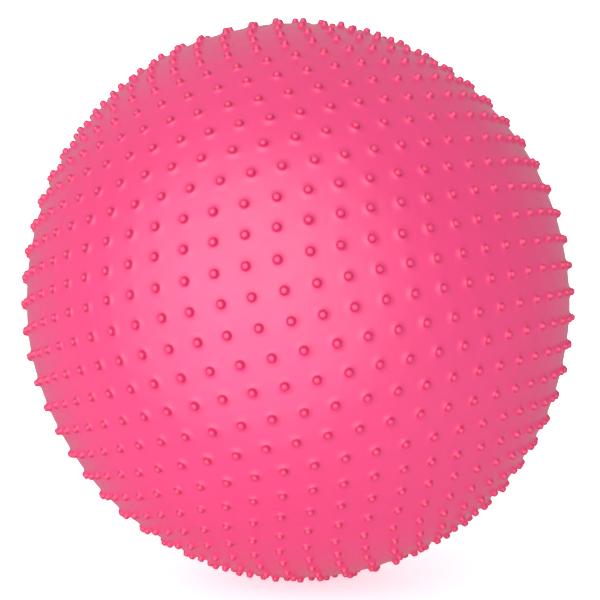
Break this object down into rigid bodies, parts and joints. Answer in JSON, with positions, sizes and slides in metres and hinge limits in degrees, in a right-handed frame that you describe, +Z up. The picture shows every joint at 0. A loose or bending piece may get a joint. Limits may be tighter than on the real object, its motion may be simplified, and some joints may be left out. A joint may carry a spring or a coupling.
{
  "type": "exercise ball",
  "caption": "Inflatable round exercise ball with rows of small cone-shaped massage nubs, and a valve seat closed by a push-in plug.",
  "frame": {"origin": "centre of the ball", "axes": "+Z up, +X right and -Y towards the viewer. The ball lies as it has rolled: its valve axis leans 12.5 degrees from +Z to -X and 2.2 degrees to +Y"},
  "size_m": [0.6615, 0.6614, 0.6618],
  "materials": {
    "skin_vinyl": "satin",
    "seat_vinyl": "satin",
    "plug_plastic": "satin"
  },
  "bodies": {
    "ball": {"ball_skin": "skin_vinyl", "valve_seat": "seat_vinyl"},
    "plug": {"valve_plug": "plug_plastic"}
  },
  "joints": [
    {"name": "plug_pull", "type": "slide", "parent": "ball", "child": "plug", "axis": [-0.2163, 0.0384, 0.9756], "range_m": [0, 0.05]}
  ]
}
